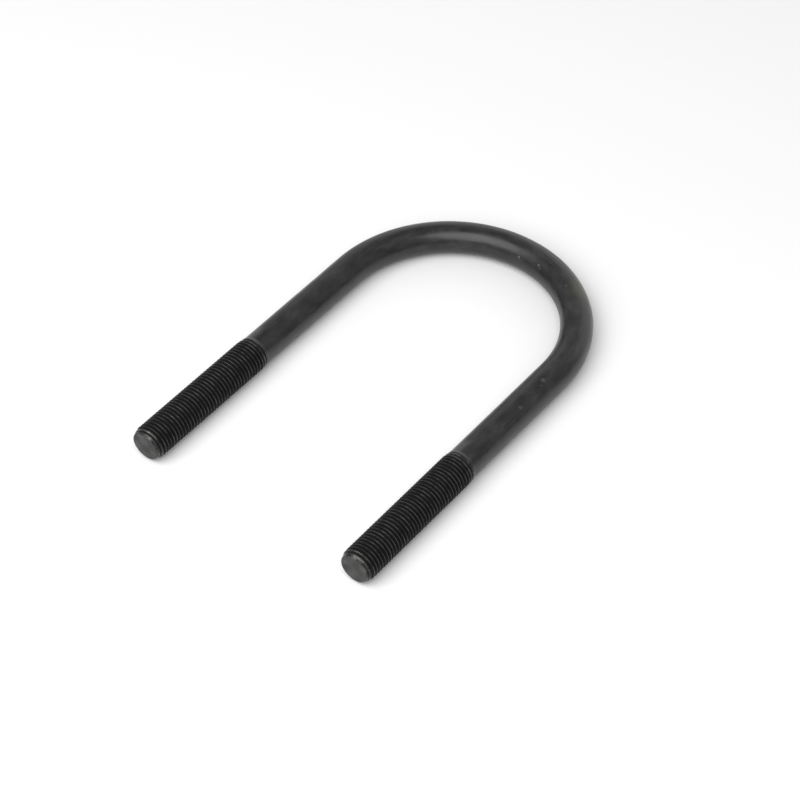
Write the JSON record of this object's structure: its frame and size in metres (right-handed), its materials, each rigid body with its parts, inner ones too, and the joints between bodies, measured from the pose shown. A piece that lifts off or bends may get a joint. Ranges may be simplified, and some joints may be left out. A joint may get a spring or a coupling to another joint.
{
  "type": "u-bolt",
  "caption": "Round-bend U-bolt in black steel bar, with a right-hand rolled thread on each leg.",
  "frame": {"origin": "centre of the bow, where the axis of the clamped pipe crosses the plane of the U", "axes": "+Y out through the crown of the bow, with the legs pointing along -Y; +X across the legs; +Z along the axis of the clamped pipe, square to the plane of the U, which lies flat"},
  "size_m": [0.0896, 0.1409, 0.011],
  "materials": {
    "black_steel": "satin black oxide over rolled bar"
  },
  "bodies": {
    "root": {"u_bolt": "black_steel"}
  },
  "joints": []
}
